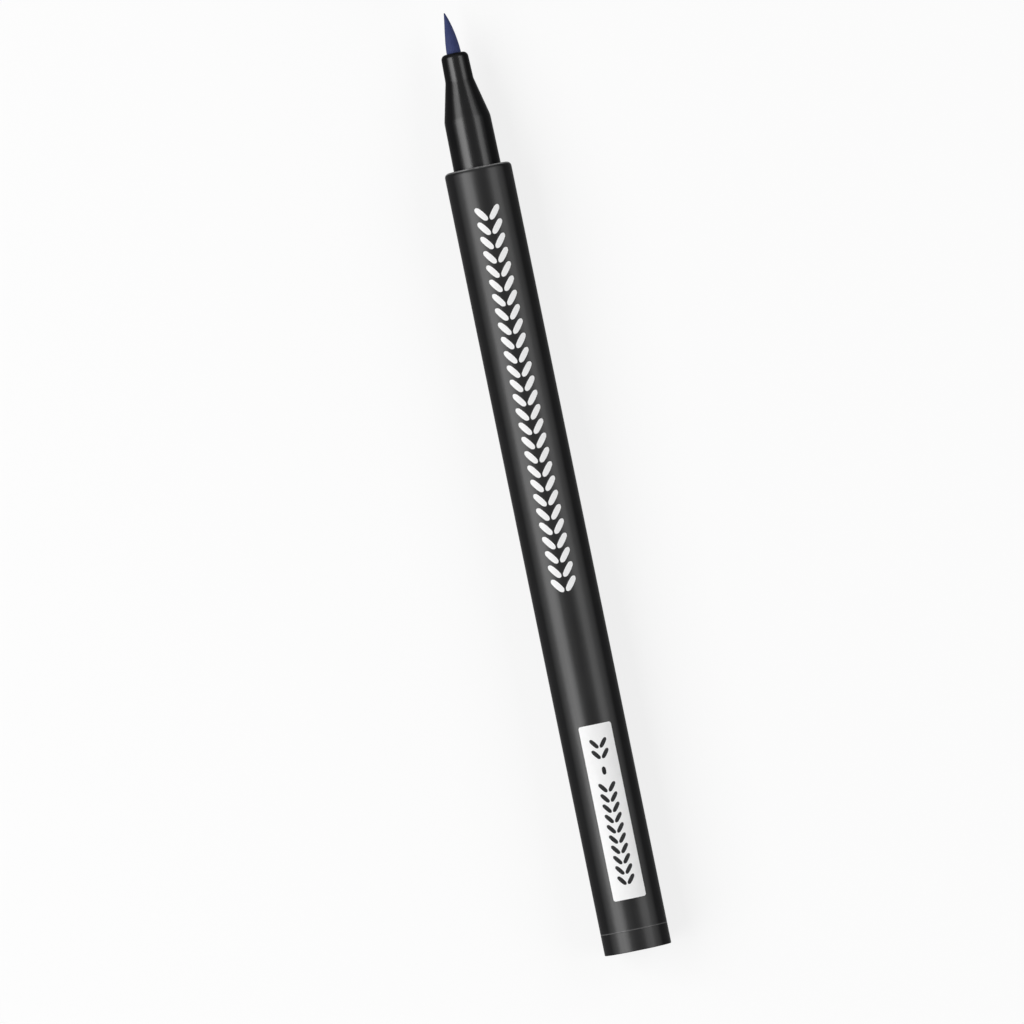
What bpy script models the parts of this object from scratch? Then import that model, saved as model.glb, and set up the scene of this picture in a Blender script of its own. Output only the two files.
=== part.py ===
"""A brush-tip fabric marker, lying open on a table with its cap in line ahead of the nib.

Metres, +Z up. The marker's axis is world X, its tail face is at the origin and its nib points to +X.
A turned piece is an outline of (radius, height, rounding) corners along its own Z, top to bottom down the
outer side, and the empty that carries it lays that Z along world X.
"""

import math

import bmesh
import bpy
from mathutils import Matrix, Vector

# Facets round a turned piece: outer pieces, inner pieces, and the fine tube that the label is cut from
OUTER_FACETS = 48
INNER_FACETS = 32
LABEL_FACETS = 96
ARC_STEPS = 4
SHARP_ANGLE = math.radians(30)
MERGE_DISTANCE = 0.000001

# How much of an outline's edge a rounding may take: of one that two roundings share, and of any other
SHARED_EDGE_SHARE = 0.5
LONE_EDGE_SHARE = 0.95

# Clearances
FIT_GAP = 0.00005
SEAT_GAP = 0.0001
LOOSE_GAP = 0.0003
CAP_RUNNING_GAP = 0.0001
CUTTER_OVERRUN = 0.001

# Barrel
BARREL_DIAMETER = 0.0100
BARREL_LENGTH = 0.1143
TANK_WALL = 0.0009
FRONT_WALL = 0.001425
BARREL_FRONT_ROUNDING = 0.0007
SEAM_ROUNDING = 0.0001

# Tail plug
TAIL_FLANGE_LENGTH = 0.0030
TAIL_SPIGOT_LENGTH = 0.0060
TAIL_SPIGOT_WALL = 0.0010
TAIL_EDGE_ROUNDING = 0.0002

# Front section
GRIP_LENGTH = 0.0073
GRIP_TAPER = 0.000075
CONE_LENGTH = 0.0058
NECK_REAR_DIAMETER = 0.0042
NECK_FRONT_DIAMETER = 0.0040
NECK_LENGTH = 0.00405
NECK_END_ROUNDING = 0.00075
CONE_REAR_ROUNDING = 0.0030
CONE_FRONT_ROUNDING = 0.0020
SECTION_PLUG_LENGTH = 0.0116
SECTION_PLUG_WALL = 0.000725
SECTION_LIP_LENGTH = 0.0008

# Ink collector
COLLECTOR_SPIGOT_LENGTH = 0.0100
COLLECTOR_CORE_DIAMETER = 0.0034
COLLECTOR_FIN_ZONE_LENGTH = 0.0290
COLLECTOR_FIN_THICKNESS = 0.0007
COLLECTOR_FIN_COUNT = 16
COLLECTOR_FLANGE_LENGTH = 0.0020
COLLECTOR_INSET = 0.0005
AIR_SLOT_WIDTH = 0.0008

# Nib, its holder and the wick
NIB_DIAMETER = 0.00216
NIB_EXPOSED_LENGTH = 0.00605
NIB_TAIL_LENGTH = 0.0060
NIB_TIP_BEND = 0.00021
NIB_BEND_POWER = 4
NIB_TAPER_POWER = 1.6
NIB_TIP_SHARE = 0.08
NIB_RING_COUNT = 12
NIB_BEVEL_RESOLUTION = 6
HOLDER_WALL = 0.00035
HOLDER_WICK_GRIP_LENGTH = 0.0050
HOLDER_FLANGE_LENGTH = 0.0010
WICK_DIAMETER = 0.0016
WICK_TANK_REACH = 0.0015

# Mixing balls
BALL_DIAMETER = 0.0048
BALL_COUNT = 2
BALL_SUBDIVISION_COUNT = 2

# Cap and its liner
CAP_WALL = 0.0008
CAP_END_WALL = 0.0015
CAP_END_SPACE = 0.0037
CAP_END_ROUNDING = 0.0003
CAP_MOUTH_ROUNDING = 0.0002
CAP_REST_GAP = 0.0070
LINER_RECESS = 0.0006
LINER_WALL = 0.0008
LINER_SEAT_LEAD = 0.0010
LINER_COLLAR_LENGTH = 0.0010
LINER_NECK_GAP = 0.0002
NIB_TIP_CLEARANCE = 0.0012

# Label
LABEL_WIDTH = 0.00486
LABEL_LENGTH = 0.0261
LABEL_TAIL_DISTANCE = 0.0077
LABEL_CORNER_RADIUS = 0.00035
LABEL_THICKNESS = 0.00008
LABEL_GLUE_GAP = 0.00003
LABEL_TURN = math.radians(4.3)

# Radii that several pieces share
BARREL_RADIUS = BARREL_DIAMETER / 2
TANK_RADIUS = BARREL_RADIUS - TANK_WALL
FRONT_BORE_RADIUS = BARREL_RADIUS - FRONT_WALL
SEAT_RADIUS = FRONT_BORE_RADIUS - FIT_GAP
SECTION_REAR_BORE_RADIUS = SEAT_RADIUS - SECTION_PLUG_WALL
NIB_RADIUS = NIB_DIAMETER / 2
NIB_HOLE_RADIUS = NIB_RADIUS + FIT_GAP
HOLDER_RADIUS = NIB_HOLE_RADIUS + HOLDER_WALL
HOLDER_FLANGE_RADIUS = SECTION_REAR_BORE_RADIUS - FIT_GAP
WICK_RADIUS = WICK_DIAMETER / 2
WICK_HOLE_RADIUS = WICK_RADIUS + FIT_GAP
COLLECTOR_SPIGOT_RADIUS = SECTION_REAR_BORE_RADIUS - FIT_GAP
CAP_BORE_RADIUS = BARREL_RADIUS - CAP_WALL
BALL_RADIUS = BALL_DIAMETER / 2

# Heights along the marker, from the tail face
BARREL_REAR = TAIL_FLANGE_LENGTH + SEAT_GAP
BARREL_FRONT = BARREL_REAR + BARREL_LENGTH
SECTION_REAR = BARREL_FRONT - SECTION_PLUG_LENGTH
GRIP_FRONT = BARREL_FRONT + GRIP_LENGTH
CONE_FRONT = GRIP_FRONT + CONE_LENGTH
SECTION_FRONT = CONE_FRONT + NECK_LENGTH
SECTION_LIP = SECTION_FRONT - SECTION_LIP_LENGTH
NIB_TIP = SECTION_FRONT + NIB_EXPOSED_LENGTH
NIB_REAR = SECTION_FRONT - NIB_TAIL_LENGTH
WICK_FRONT = NIB_REAR - SEAT_GAP
HOLDER_REAR = WICK_FRONT - HOLDER_WICK_GRIP_LENGTH
HOLDER_SHOULDER = HOLDER_REAR + HOLDER_FLANGE_LENGTH
COLLECTOR_SHOULDER = SECTION_REAR - SEAT_GAP
FINS_REAR = COLLECTOR_SHOULDER - COLLECTOR_FIN_ZONE_LENGTH
COLLECTOR_REAR = FINS_REAR - COLLECTOR_FLANGE_LENGTH
TANK_FRONT = COLLECTOR_REAR - COLLECTOR_INSET
WICK_REAR = COLLECTOR_REAR - WICK_TANK_REACH
TAIL_SPIGOT_FRONT = TAIL_FLANGE_LENGTH + TAIL_SPIGOT_LENGTH

# Heights inside the cap, from its mouth, which closes on the barrel's front face
LINER_CONE_REAR = GRIP_LENGTH + LOOSE_GAP
LINER_CONE_FRONT = LINER_CONE_REAR + CONE_LENGTH
LINER_FLOOR = GRIP_LENGTH + CONE_LENGTH + NECK_LENGTH + NIB_EXPOSED_LENGTH + NIB_TIP_CLEARANCE
LINER_FRONT = LINER_FLOOR + LINER_WALL
CAP_FLOOR = LINER_FRONT + CAP_END_SPACE
CAP_LENGTH = CAP_FLOOR + CAP_END_WALL
CAP_MOUTH_AT_REST = NIB_TIP + CAP_REST_GAP
CAP_TRAVEL = CAP_MOUTH_AT_REST - BARREL_FRONT - SEAT_GAP
BALL_TRAVEL = WICK_REAR - TAIL_SPIGOT_FRONT - BALL_COUNT * (BALL_DIAMETER + LOOSE_GAP) - LOOSE_GAP

# Colours (linear), roughness and metallic values
BLACK_PLASTIC = ((0.012, 0.012, 0.013), 0.32, 0.0)
GREY_PLASTIC = ((0.30, 0.30, 0.31), 0.45, 0.0)
WHITE_PLASTIC = ((0.75, 0.75, 0.74), 0.45, 0.0)
WHITE_PAPER = ((0.85, 0.85, 0.84), 0.60, 0.0)
BLUE_FIBRE = ((0.035, 0.048, 0.130), 0.70, 0.0)
STEEL = ((0.60, 0.60, 0.61), 0.20, 1.0)


def clear_scene():
    for found in list(bpy.data.objects):
        bpy.data.objects.remove(found)


def make_collection(name):
    collection = bpy.data.collections.new(name)
    bpy.context.scene.collection.children.link(collection)
    return collection


def make_axis(name, height, collection):
    """An empty on the marker's axis that lays its children's Z along world X."""
    axis = bpy.data.objects.new(name, None)
    axis.location = (height, 0, 0)
    axis.rotation_euler = (0, math.pi / 2, 0)
    collection.objects.link(axis)
    return axis


def add_material(piece, finish):
    """Give the piece a Principled material of its own."""
    colour, roughness, metallic = finish
    material = bpy.data.materials.new(piece.name)
    material.use_nodes = True
    shader = material.node_tree.nodes["Principled BSDF"]
    shader.inputs["Base Color"].default_value = (*colour, 1)
    shader.inputs["Roughness"].default_value = roughness
    shader.inputs["Metallic"].default_value = metallic
    piece.data.materials.append(material)


def link_piece(name, data, carrier, collection):
    piece = bpy.data.objects.new(name, data)
    piece.parent = carrier
    collection.objects.link(piece)
    return piece


def rounded_outline(corners):
    """The outline through these (radius, height, rounding) corners, with an arc at each that has a rounding."""
    points = []
    for index, (radius, height, rounding) in enumerate(corners):
        here = Vector((radius, height))
        if not rounding:
            points.append(here)
            continue
        neighbours = (corners[index - 1], corners[(index + 1) % len(corners)])
        back, onward = (Vector(neighbour[:2]) - here for neighbour in neighbours)
        edge_shares = [SHARED_EDGE_SHARE if neighbour[2] else LONE_EDGE_SHARE for neighbour in neighbours]
        half_angle = back.angle(onward) / 2
        reach = min(
            rounding / math.tan(half_angle), back.length * edge_shares[0], onward.length * edge_shares[1]
        )
        towards_centre = (back.normalized() + onward.normalized()).normalized()
        centre = here + towards_centre * reach / math.cos(half_angle)
        start = here + back.normalized() * reach - centre
        sweep = start.angle_signed(here + onward.normalized() * reach - centre)
        for step in range(ARC_STEPS + 1):
            points.append(centre + Matrix.Rotation(-sweep * step / ARC_STEPS, 2) @ start)
    return points


def turned_piece(name, corners, facets, carrier, collection):
    """A piece turned from its outline. An outline that starts on the axis is solid there, any other is a ring."""
    points = rounded_outline(corners)
    edges = [(index, index + 1) for index in range(len(points) - 1)]
    if points[0].x:
        edges.append((len(points) - 1, 0))
    mesh = bpy.data.meshes.new(name)
    mesh.from_pydata([(radius, 0, height) for radius, height in points], edges, [])
    piece = link_piece(name, mesh, carrier, collection)
    piece.rotation_euler.z = math.pi / facets
    screw = piece.modifiers.new("Turn", "SCREW")
    screw.axis = "Z"
    screw.angle = 2 * math.pi
    screw.steps = facets
    screw.render_steps = facets
    screw.use_merge_vertices = True
    screw.merge_threshold = MERGE_DISTANCE
    return piece


def cut(piece, cutter, operation="DIFFERENCE"):
    boolean = piece.modifiers.new("Cut", "BOOLEAN")
    boolean.operation = operation
    boolean.object = cutter
    boolean.solver = "EXACT"


def apply_modifiers(piece):
    """Make the evaluated mesh the piece's own, and shade its round faces smooth."""
    bpy.context.view_layer.update()
    graph = bpy.context.evaluated_depsgraph_get()
    finished = bpy.data.meshes.new_from_object(piece.evaluated_get(graph))
    piece.modifiers.clear()
    piece.data = finished
    finished.name = piece.name
    finished.shade_smooth()
    finished.set_sharp_from_angle(angle=SHARP_ANGLE)


def finish_piece(piece, finish):
    apply_modifiers(piece)
    add_material(piece, finish)


def box_cutter(name, size, centre, carrier, collection, corner_radius=0.0):
    """A hidden box to cut with, its edges along X rounded where corner_radius is given."""
    cage = bmesh.new()
    bmesh.ops.create_cube(cage, size=1, matrix=Matrix.Diagonal((*size, 1)))
    if corner_radius:
        along_x = [edge for edge in cage.edges if abs(edge.verts[0].co.x - edge.verts[1].co.x) > size[0] / 2]
        bmesh.ops.bevel(
            cage, geom=along_x, offset=corner_radius, segments=ARC_STEPS, profile=0.5, affect="EDGES"
        )
    mesh = bpy.data.meshes.new(name)
    cage.to_mesh(mesh)
    cage.free()
    cutter = link_piece(name, mesh, carrier, collection)
    cutter.location = centre
    cutter.hide_render = True
    cutter.display_type = "WIRE"
    return cutter


def make_barrel(carrier, collection):
    corners = [
        (BARREL_RADIUS, BARREL_FRONT, BARREL_FRONT_ROUNDING),
        (BARREL_RADIUS, BARREL_REAR, SEAM_ROUNDING),
        (TANK_RADIUS, BARREL_REAR, 0),
        (TANK_RADIUS, TANK_FRONT, 0),
        (FRONT_BORE_RADIUS, TANK_FRONT, 0),
        (FRONT_BORE_RADIUS, BARREL_FRONT, 0),
    ]
    finish_piece(turned_piece("barrel", corners, OUTER_FACETS, carrier, collection), BLACK_PLASTIC)


def make_tail_plug(carrier, collection):
    spigot_radius = TANK_RADIUS - FIT_GAP
    spigot_bore_radius = spigot_radius - TAIL_SPIGOT_WALL
    corners = [
        (0, TAIL_FLANGE_LENGTH, 0),
        (spigot_bore_radius, TAIL_FLANGE_LENGTH, 0),
        (spigot_bore_radius, TAIL_SPIGOT_FRONT, 0),
        (spigot_radius, TAIL_SPIGOT_FRONT, 0),
        (spigot_radius, TAIL_FLANGE_LENGTH, 0),
        (BARREL_RADIUS, TAIL_FLANGE_LENGTH, SEAM_ROUNDING),
        (BARREL_RADIUS, 0, TAIL_EDGE_ROUNDING),
        (0, 0, 0),
    ]
    finish_piece(turned_piece("tail_plug", corners, OUTER_FACETS, carrier, collection), BLACK_PLASTIC)


def make_front_section(carrier, collection):
    holder_bore_radius = HOLDER_RADIUS + FIT_GAP
    bore_step = HOLDER_SHOULDER + SEAT_GAP
    corners = [
        (NECK_FRONT_DIAMETER / 2, SECTION_FRONT, NECK_END_ROUNDING),
        (NECK_REAR_DIAMETER / 2, CONE_FRONT, CONE_FRONT_ROUNDING),
        (SEAT_RADIUS - GRIP_TAPER, GRIP_FRONT, CONE_REAR_ROUNDING),
        (SEAT_RADIUS, BARREL_FRONT, 0),
        (SEAT_RADIUS, SECTION_REAR, 0),
        (SECTION_REAR_BORE_RADIUS, SECTION_REAR, 0),
        (SECTION_REAR_BORE_RADIUS, bore_step, 0),
        (holder_bore_radius, bore_step, 0),
        (holder_bore_radius, SECTION_LIP, 0),
        (NIB_HOLE_RADIUS, SECTION_LIP, 0),
        (NIB_HOLE_RADIUS, SECTION_FRONT, 0),
    ]
    finish_piece(turned_piece("front_section", corners, OUTER_FACETS, carrier, collection), BLACK_PLASTIC)


def make_nib_holder(carrier, collection):
    holder_front = SECTION_LIP - SEAT_GAP
    corners = [
        (HOLDER_RADIUS, holder_front, 0),
        (HOLDER_RADIUS, HOLDER_SHOULDER, 0),
        (HOLDER_FLANGE_RADIUS, HOLDER_SHOULDER, 0),
        (HOLDER_FLANGE_RADIUS, HOLDER_REAR, 0),
        (WICK_HOLE_RADIUS, HOLDER_REAR, 0),
        (WICK_HOLE_RADIUS, WICK_FRONT, 0),
        (NIB_HOLE_RADIUS, WICK_FRONT, 0),
        (NIB_HOLE_RADIUS, holder_front, 0),
    ]
    finish_piece(turned_piece("nib_holder", corners, INNER_FACETS, carrier, collection), WHITE_PLASTIC)


def make_brush_nib(carrier, collection):
    """A tapering tube on the nib's own centre line, which bends to +Y towards the tip."""
    curve = bpy.data.curves.new("brush_nib", "CURVE")
    curve.dimensions = "3D"
    curve.bevel_depth = NIB_RADIUS
    curve.bevel_resolution = NIB_BEVEL_RESOLUTION
    curve.use_fill_caps = True
    spline = curve.splines.new("POLY")
    spline.points.add(NIB_RING_COUNT + 1)
    spline.points[0].co = (0, 0, NIB_REAR, 1)
    for index, point in enumerate(spline.points[1:]):
        along_share = index / NIB_RING_COUNT
        bend = NIB_TIP_BEND * along_share**NIB_BEND_POWER
        point.co = (0, bend, SECTION_FRONT + NIB_EXPOSED_LENGTH * along_share, 1)
        point.radius = 1 - (1 - NIB_TIP_SHARE) * along_share**NIB_TAPER_POWER
    add_material(link_piece("brush_nib", curve, carrier, collection), BLUE_FIBRE)


def make_ink_collector(carrier, cutters, collection):
    """A core with fins and an air slot through them, a spigot in front and the tank's closing flange behind."""
    core_radius = COLLECTOR_CORE_DIAMETER / 2
    fin_radius = FRONT_BORE_RADIUS - SEAT_GAP
    fin_pitch = COLLECTOR_FIN_ZONE_LENGTH / COLLECTOR_FIN_COUNT
    corners = [
        (COLLECTOR_SPIGOT_RADIUS, COLLECTOR_SHOULDER + COLLECTOR_SPIGOT_LENGTH, 0),
        (COLLECTOR_SPIGOT_RADIUS, COLLECTOR_SHOULDER, 0),
    ]
    for index in range(COLLECTOR_FIN_COUNT):
        fin_front = COLLECTOR_SHOULDER - index * fin_pitch
        fin_rear = fin_front - COLLECTOR_FIN_THICKNESS
        corners += [
            (fin_radius, fin_front, 0),
            (fin_radius, fin_rear, 0),
            (core_radius, fin_rear, 0),
            (core_radius, fin_front - fin_pitch, 0),
        ]
    corners += [
        (FRONT_BORE_RADIUS - FIT_GAP, FINS_REAR, 0),
        (FRONT_BORE_RADIUS - FIT_GAP, COLLECTOR_REAR, 0),
        (WICK_HOLE_RADIUS, COLLECTOR_REAR, 0),
        (WICK_HOLE_RADIUS, COLLECTOR_SHOULDER + COLLECTOR_SPIGOT_LENGTH, 0),
    ]
    # The slot opens upwards, which is local -X. It starts ahead of the first fin and ends in the last gap.
    slot_floor = core_radius + SEAT_GAP
    slot_rear = FINS_REAR + (fin_pitch - COLLECTOR_FIN_THICKNESS) / 2
    slot_depth = fin_radius - slot_floor + CUTTER_OVERRUN
    slot_length = COLLECTOR_SHOULDER - slot_rear + CUTTER_OVERRUN
    slot_size = (slot_depth, AIR_SLOT_WIDTH, slot_length)
    slot_centre = (-(slot_floor + slot_depth / 2), 0, slot_rear + slot_length / 2)
    collector = turned_piece("ink_collector", corners, INNER_FACETS, carrier, collection)
    cut(collector, box_cutter("air_slot_cutter", slot_size, slot_centre, carrier, cutters))
    finish_piece(collector, WHITE_PLASTIC)


def make_feed_wick(carrier, collection):
    corners = [
        (0, WICK_FRONT, 0),
        (WICK_RADIUS, WICK_FRONT, 0),
        (WICK_RADIUS, WICK_REAR, 0),
        (0, WICK_REAR, 0),
    ]
    finish_piece(turned_piece("feed_wick", corners, INNER_FACETS, carrier, collection), BLUE_FIBRE)


def make_mixing_balls(carrier, collection):
    """Balls that lie one after the other on the tank's lowest line, the first against the tail spigot."""
    depth = TANK_RADIUS - BALL_RADIUS - LOOSE_GAP
    for index in range(BALL_COUNT):
        mesh = bpy.data.meshes.new("mixing_ball")
        ball_shape = bmesh.new()
        bmesh.ops.create_icosphere(ball_shape, subdivisions=BALL_SUBDIVISION_COUNT, radius=BALL_RADIUS)
        ball_shape.to_mesh(mesh)
        ball_shape.free()
        mesh.shade_smooth()
        ball = link_piece(f"mixing_ball_{index + 1}", mesh, carrier, collection)
        ball.location = (
            depth,
            0,
            TAIL_SPIGOT_FRONT + LOOSE_GAP + BALL_RADIUS + index * (BALL_DIAMETER + LOOSE_GAP),
        )
        add_material(ball, STEEL)


def make_cap(carrier, collection):
    corners = [
        (0, CAP_LENGTH, 0),
        (BARREL_RADIUS, CAP_LENGTH, CAP_END_ROUNDING),
        (BARREL_RADIUS, 0, CAP_MOUTH_ROUNDING),
        (CAP_BORE_RADIUS, 0, 0),
        (CAP_BORE_RADIUS, CAP_FLOOR, 0),
        (0, CAP_FLOOR, 0),
    ]
    finish_piece(turned_piece("cap", corners, OUTER_FACETS, carrier, collection), BLACK_PLASTIC)


def make_inner_cap(carrier, collection):
    """The liner: a grip bore for the section, a cone that follows the section's, and a chamber for the nib."""
    outer_radius = CAP_BORE_RADIUS - FIT_GAP
    grip_bore_radius = SEAT_RADIUS + CAP_RUNNING_GAP
    chamber_radius = NECK_REAR_DIAMETER / 2 + LINER_NECK_GAP
    tube_radius = chamber_radius + LINER_WALL
    corners = [
        (0, LINER_FRONT, 0),
        (outer_radius, LINER_FRONT, 0),
        (outer_radius, LINER_FRONT - LINER_COLLAR_LENGTH, 0),
        (tube_radius, LINER_FRONT - LINER_COLLAR_LENGTH, 0),
        (tube_radius, LINER_CONE_FRONT + LINER_SEAT_LEAD, 0),
        (outer_radius, LINER_CONE_REAR + LINER_SEAT_LEAD, 0),
        (outer_radius, LINER_RECESS, 0),
        (grip_bore_radius, LINER_RECESS, 0),
        (grip_bore_radius, LINER_CONE_REAR, 0),
        (chamber_radius, LINER_CONE_FRONT, 0),
        (chamber_radius, LINER_FLOOR, 0),
        (0, LINER_FLOOR, 0),
    ]
    finish_piece(turned_piece("inner_cap", corners, OUTER_FACETS, carrier, collection), GREY_PLASTIC)


def make_label(carrier, cutters, collection):
    """A patch of a thin tube round the barrel, cut out by a box with round corners."""
    inner_radius = BARREL_RADIUS + LABEL_GLUE_GAP
    outer_radius = inner_radius + LABEL_THICKNESS
    front = LABEL_TAIL_DISTANCE + LABEL_LENGTH
    corners = [
        (outer_radius, front + CUTTER_OVERRUN, 0),
        (outer_radius, LABEL_TAIL_DISTANCE - CUTTER_OVERRUN, 0),
        (inner_radius, LABEL_TAIL_DISTANCE - CUTTER_OVERRUN, 0),
        (inner_radius, front + CUTTER_OVERRUN, 0),
    ]
    patch_size = (outer_radius + CUTTER_OVERRUN, LABEL_WIDTH, LABEL_LENGTH)
    turn = math.pi + LABEL_TURN
    centre = Matrix.Rotation(turn, 3, "Z") @ Vector((patch_size[0] / 2, 0, (LABEL_TAIL_DISTANCE + front) / 2))
    patch = box_cutter("label_cutter", patch_size, centre, carrier, cutters, LABEL_CORNER_RADIUS)
    patch.rotation_euler.z = turn
    label = turned_piece("label", corners, LABEL_FACETS, carrier, collection)
    cut(label, patch, "INTERSECT")
    finish_piece(label, WHITE_PAPER)


def main():
    clear_scene()
    collection = make_collection("fabric_marker")
    cutters = make_collection("cutters")
    marker_axis = make_axis("marker_axis", 0, collection)
    cap_axis = make_axis("cap_axis", CAP_MOUTH_AT_REST, collection)
    make_barrel(marker_axis, collection)
    make_tail_plug(marker_axis, collection)
    make_front_section(marker_axis, collection)
    make_nib_holder(marker_axis, collection)
    make_brush_nib(marker_axis, collection)
    make_ink_collector(marker_axis, cutters, collection)
    make_feed_wick(marker_axis, collection)
    make_mixing_balls(marker_axis, collection)
    make_label(marker_axis, cutters, collection)
    make_cap(cap_axis, collection)
    make_inner_cap(cap_axis, collection)
    print(f"cap mouth at {CAP_MOUTH_AT_REST:.5f} m, cap travel {CAP_TRAVEL:.5f} m, ball travel {BALL_TRAVEL:.5f} m")


main()
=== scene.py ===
"""Looks of a brush-tip fabric marker, built around its packed frame."""

import math

import bmesh
import bpy
from bpy.props import FloatProperty, FloatVectorProperty, IntProperty, PointerProperty
from mathutils import Matrix, Vector


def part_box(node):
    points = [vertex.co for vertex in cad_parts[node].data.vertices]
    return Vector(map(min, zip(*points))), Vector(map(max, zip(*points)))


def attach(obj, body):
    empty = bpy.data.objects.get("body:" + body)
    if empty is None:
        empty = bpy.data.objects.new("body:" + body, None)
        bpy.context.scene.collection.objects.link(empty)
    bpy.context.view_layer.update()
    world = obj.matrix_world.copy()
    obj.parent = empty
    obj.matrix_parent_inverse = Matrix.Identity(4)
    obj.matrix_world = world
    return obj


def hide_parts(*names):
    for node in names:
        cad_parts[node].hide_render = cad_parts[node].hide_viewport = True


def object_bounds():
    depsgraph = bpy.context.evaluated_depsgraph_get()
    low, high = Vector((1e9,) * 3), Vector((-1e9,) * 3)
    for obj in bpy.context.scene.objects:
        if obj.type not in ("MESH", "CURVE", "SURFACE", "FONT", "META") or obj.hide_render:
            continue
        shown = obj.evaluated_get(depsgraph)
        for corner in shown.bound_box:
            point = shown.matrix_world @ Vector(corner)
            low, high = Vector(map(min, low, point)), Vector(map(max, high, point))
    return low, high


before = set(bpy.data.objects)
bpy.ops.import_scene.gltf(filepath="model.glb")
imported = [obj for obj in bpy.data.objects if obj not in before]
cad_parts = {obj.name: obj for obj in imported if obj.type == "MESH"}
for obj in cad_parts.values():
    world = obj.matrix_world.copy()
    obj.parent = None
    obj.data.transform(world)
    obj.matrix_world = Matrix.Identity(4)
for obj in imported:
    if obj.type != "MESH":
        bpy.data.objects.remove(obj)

bl_info = {
    "name": "Fabric Marker",
    "version": (1, 0, 0),
    "blender": (4, 5, 0),
    "location": "3D View > Sidebar > Marker",
    "description": "Builds an open brush-tip fabric marker with its cap and the studio around it",
    "category": "Add Mesh",
}

CAD_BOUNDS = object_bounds()
MARKER_BODY = "marker"
CAP_BODY = "closing_cap"

# Where the frame puts things along the marker's axis, in metres
BARREL_LOW, BARREL_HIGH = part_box("barrel")
PLUG_LOW, PLUG_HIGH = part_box("tail_plug")
SECTION_LOW, SECTION_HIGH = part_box("front_section")
NIB_LOW, NIB_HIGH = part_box("brush_nib")
LABEL_LOW, LABEL_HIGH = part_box("label")
HOLDER_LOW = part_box("nib_holder")[0]
COLLECTOR_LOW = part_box("ink_collector")[0]
CAP_LOW, CAP_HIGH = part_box("cap")
LINER_LOW, LINER_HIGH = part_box("inner_cap")

# How far behind the collector the tank's step lies
COLLECTOR_GAP = 0.0005

# Mesh making
SHARP_ANGLE = math.radians(35)
PATCH_STEP = math.radians(2)
PATCH_ARC_STEPS = 8
LEAST_PATCH_STEPS = 4
FACETS_PER_FIBRE = 8
SUPPORT_DISTANCE = 0.0002
SUPPORT_SHARE = 0.25
LONGEST_RUN = 0.012
STATION_STEP = 0.0005

# How much of an outline's edge a rounding may take: of one that two roundings share, and of any other
SHARED_EDGE_SHARE = 0.5
LONE_EDGE_SHARE = 0.95

# The mark that a moulding gate leaves in its dish, as shares of the dish's depth and radius
GATE_MARK_DEPTH_SHARE = 0.4
GATE_MARK_TOP_SHARE = 0.28
GATE_MARK_FOOT_SHARE = 0.42
GATE_FLOOR_SHARE = 0.8
GATE_MARK_ROUNDING_SHARE = 0.3
GATE_RIM_ROUNDING_SHARE = 0.5

# A stitch: its corners' radius and its least width as shares of its width, and a dash's length as one too
STITCH_CORNER_SHARE = 0.499
STITCH_LEAST_WIDTH_SHARE = 0.01
DASH_LENGTH_SHARE = 2

# The nib: the share of its exposed length that runs into the neck, and its two sets of drifting ridges.
# The ridges are full where the nib is thicker than a third of its full width.
NIB_RUN_IN_SHARE = 0.2
RIDGE_GROWTH = 3
RIDGE_MEAN_SHARE = 0.5
FINE_RIDGE_SHARE = 0.3
FINE_RIDGE_DRIFT = 0.9
COARSE_RIDGE_SHARE = 0.2
COARSE_RIDGE_COUNT_SHARE = 0.6
COARSE_RIDGE_DRIFT = -2.3
COARSE_RIDGE_TURN = 1.1

# Noise patterns: how far each is drawn out along X, Y and Z, its scale and its detail
PLASTIC_GRAIN = ((1, 1, 1), 5200, 4)
DRAW_MARKS = ((0.03, 1, 1), 1800, 3)
PLASTIC_CLOUDS = ((1, 1, 1), 160, 3)
RIM_PATCHES = ((1, 1, 1), 700, 3)
INNER_GRAIN = ((1, 1, 1), 4200, 4)
FLOW_MARKS = ((0.2, 1, 1), 420, 3)
FIBRES = ((0.04, 1, 1), 11000, 4)
SOAKED_PATCHES = ((1, 1, 1), 900, 2)
PAPER_TOOTH = ((1, 1, 1), 6500, 5)
PAPER_MOTTLE = ((1, 1, 1), 700, 3)
INK_FILM = ((1, 1, 1), 3800, 4)
INK_COVER = ((1, 1, 1), 1300, 3)
SCRATCHES = ((0.15, 1, 1), 5000, 5)
NOISE_ROUGHNESS = 0.55
PATTERN_SPAN = (0.3, 0.7)

# How far each finish varies: its colour by a share, its roughness by a swing, its relief by a depth
PLASTIC_COLOUR_SHARE = 0.12
PLASTIC_SWING = 0.035
INNER_COLOUR_SHARE = 0.05
INNER_SWING = 0.05
INNER_DEPTH = 0.000003
FIBRE_COLOUR_SHARE = 0.22
FIBRE_SWING = 0.10
FIBRE_RELIEF_DEPTH = 0.000012
PAPER_COLOUR_SHARE = 0.015
PAPER_SWING = 0.07
PAPER_DEPTH = 0.000003
INK_COLOUR_SHARE = 0.025
INK_SWING = 0.06
INK_DEPTH = 0.000004
STEEL_COLOUR_SHARE = 0.06
STEEL_SWING = 0.07
STEEL_DEPTH = 0.000001

# Roughness, sheen and gloss of the smaller pieces
FIBRE_ROUGHNESS = 0.65
FIBRE_SHEEN = 0.06
FIBRE_SHEEN_ROUGHNESS = 0.4
FIBRE_GLOSS = 0.25
PAPER_ROUGHNESS = 0.55
WHITE_INK_ROUGHNESS = 0.40
DARK_INK_ROUGHNESS = 0.42
LINER_ROUGHNESS = 0.42
NATURAL_ROUGHNESS = 0.45
STEEL_ROUGHNESS = 0.23

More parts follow.
